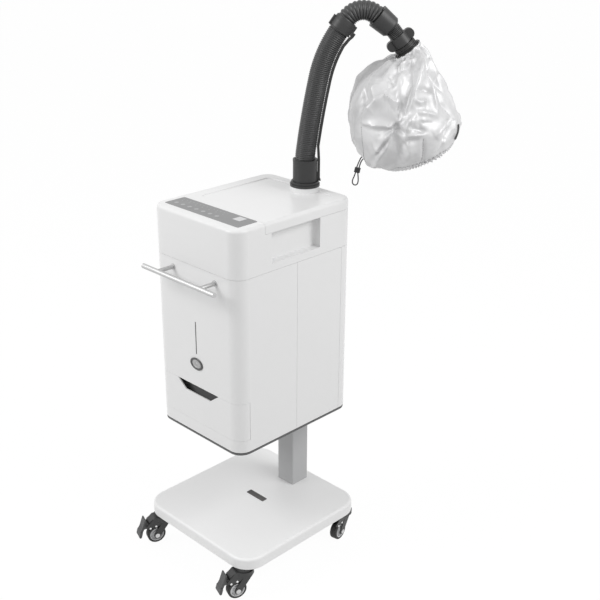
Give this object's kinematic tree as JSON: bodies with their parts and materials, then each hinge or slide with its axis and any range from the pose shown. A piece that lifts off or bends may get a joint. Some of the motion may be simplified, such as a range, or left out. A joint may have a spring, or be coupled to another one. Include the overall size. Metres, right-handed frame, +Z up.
{
  "type": "hair steamer",
  "caption": "Hair steamer: white cabinet with water drawer on a column with casters, swivelling ribbed hose arm and silver fabric bonnet.",
  "frame": {"origin": "point on the floor under the centre of the base plate", "axes": "+Z up, -Y towards the cabinet's front with its towel bar and drawer, +X to the right seen from the front's back, that is towards the user's right when facing along +Y"},
  "size_m": [0.5283, 0.7338, 1.4013],
  "materials": {
    "white_shell": "smooth glossy white moulding",
    "white_base": "satin white moulded plate",
    "column_paint": "fine silver-grey powder coat",
    "steel": "satin brushed steel",
    "zinc": "zinc plated steel",
    "caster_black": "moulded black nylon",
    "pedal_grey": "moulded dark grey nylon",
    "hub_grey": "light grey moulded wheel centre",
    "tread": "soft dark tread",
    "tray_grey": "textured grey moulding",
    "panel_film": "dark grey membrane film",
    "window": "pale display window",
    "level": "dark clear window",
    "tank_clear": "pale translucent moulding",
    "hose_black": "black ribbed plastic hose",
    "cuff_black": "black moulded cuff",
    "strap_black": "black flexible strip",
    "silver_cloth": "silver coated nylon cloth, crumpled",
    "cord_black": "black braided cord",
    "inner_metal": "folded sheet",
    "inner_plastic": "moulded inner housing",
    "board": "green circuit board"
  },
  "bodies": {
    "root": {"base_plate": "white_base", "column": "column_paint", "column_bolts": "zinc", "caster_plates": "caster_black", "bottom_tray": "tray_grey", "front_shell": "white_shell", "rear_shell": "white_shell", "rear_cover": "white_shell", "head_shell": "white_shell", "top_cover": "white_shell", "control_panel": "panel_film", "display_window": "window", "level_window": "level", "towel_bar": "steel", "bar_posts": "steel", "drawer_rails": "zinc", "power_inlet": "cuff_black", "inner_shelf": "inner_metal", "steam_boiler": "inner_metal", "water_pump": "inner_plastic", "blower_housing": "inner_plastic", "blower_motor": "inner_metal", "steam_duct": "inner_plastic", "control_board": "board", "hose_socket": "cuff_black"},
    "caster_1": {"caster_fork_1": "caster_black", "caster_axle_1": "zinc"},
    "wheel_1": {"caster_hub_1": "hub_grey", "caster_tyre_1": "tread"},
    "pedal_1": {"brake_pedal_1": "pedal_grey"},
    "caster_2": {"caster_fork_2": "caster_black", "caster_axle_2": "zinc"},
    "wheel_2": {"caster_hub_2": "hub_grey", "caster_tyre_2": "tread"},
    "pedal_2": {"brake_pedal_2": "pedal_grey"},
    "caster_3": {"caster_fork_3": "caster_black", "caster_axle_3": "zinc"},
    "wheel_3": {"caster_hub_3": "hub_grey", "caster_tyre_3": "tread"},
    "caster_4": {"caster_fork_4": "caster_black", "caster_axle_4": "zinc"},
    "wheel_4": {"caster_hub_4": "hub_grey", "caster_tyre_4": "tread"},
    "drawer": {"drawer_front": "white_shell", "water_tank": "tank_clear", "tank_lid": "tank_clear"},
    "switch": {"rocker_switch": "strap_black"},
    "blower": {"blower_wheel": "inner_plastic"},
    "arm": {"lower_cuff": "cuff_black", "arm_hose": "hose_black", "spine_strip": "strap_black", "top_clamp": "cuff_black", "bend_hose": "hose_black", "end_cuff": "cuff_black", "neck_hose": "hose_black", "ear_collar": "cuff_black"},
    "hood": {"neck_ring": "strap_black", "bonnet": "silver_cloth", "drawcord": "cord_black", "cord_lock": "cord_black"}
  },
  "joints": [
    {"name": "caster_1_swivel", "type": "hinge", "parent": "root", "child": "caster_1", "pos_m": [-0.162, -0.18, 0.08], "axis": [0, 0, 1], "continuous": true},
    {"name": "wheel_1_roll", "type": "hinge", "parent": "caster_1", "child": "wheel_1", "pos_m": [-0.16952, -0.20067, 0.025], "axis": [0.9397, -0.342, 0], "continuous": true},
    {"name": "brake_1_press", "type": "hinge", "parent": "caster_1", "child": "pedal_1", "pos_m": [-0.17671, -0.22041, 0.057], "axis": [0.9397, -0.342, 0], "range_deg": [0, 18]},
    {"name": "caster_2_swivel", "type": "hinge", "parent": "root", "child": "caster_2", "pos_m": [0.162, -0.18, 0.08], "axis": [0, 0, 1], "continuous": true},
    {"name": "wheel_2_roll", "type": "hinge", "parent": "caster_2", "child": "wheel_2", "pos_m": [0.15448, -0.20067, 0.025], "axis": [0.9397, -0.342, 0], "continuous": true},
    {"name": "brake_2_press", "type": "hinge", "parent": "caster_2", "child": "pedal_2", "pos_m": [0.14729, -0.22041, 0.057], "axis": [0.9397, -0.342, 0], "range_deg": [0, 18]},
    {"name": "caster_3_swivel", "type": "hinge", "parent": "root", "child": "caster_3", "pos_m": [-0.162, 0.18, 0.08], "axis": [0, 0, 1], "continuous": true},
    {"name": "wheel_3_roll", "type": "hinge", "parent": "caster_3", "child": "wheel_3", "pos_m": [-0.15818, 0.15833, 0.025], "axis": [0.9848, 0.1736, 0], "continuous": true},
    {"name": "caster_4_swivel", "type": "hinge", "parent": "root", "child": "caster_4", "pos_m": [0.162, 0.18, 0.08], "axis": [0, 0, 1], "continuous": true},
    {"name": "wheel_4_roll", "type": "hinge", "parent": "caster_4", "child": "wheel_4", "pos_m": [0.16582, 0.15833, 0.025], "axis": [0.9848, 0.1736, 0], "continuous": true},
    {"name": "drawer_slide", "type": "slide", "parent": "root", "child": "drawer", "axis": [0, -1, 0], "range_m": [0, 0.145]},
    {"name": "switch_rock", "type": "hinge", "parent": "root", "child": "switch", "pos_m": [-0.082, 0.20205, 0.465], "axis": [1, 0, 0], "range_deg": [0, 12]},
    {"name": "blower_spin", "type": "hinge", "parent": "root", "child": "blower", "pos_m": [-0.006, 0.162, 0.603], "axis": [0, 1, 0], "continuous": true},
    {"name": "arm_swivel", "type": "hinge", "parent": "root", "child": "arm", "pos_m": [0.026, 0.162, 0.975], "axis": [0, 0, 1], "range_deg": [-170, 170]},
    {"name": "hood_swivel", "type": "hinge", "parent": "arm", "child": "hood", "pos_m": [0.18167, 0.33489, 1.29516], "axis": [0.4211, 0.4677, -0.7771], "range_deg": [-90, 90]}
  ]
}
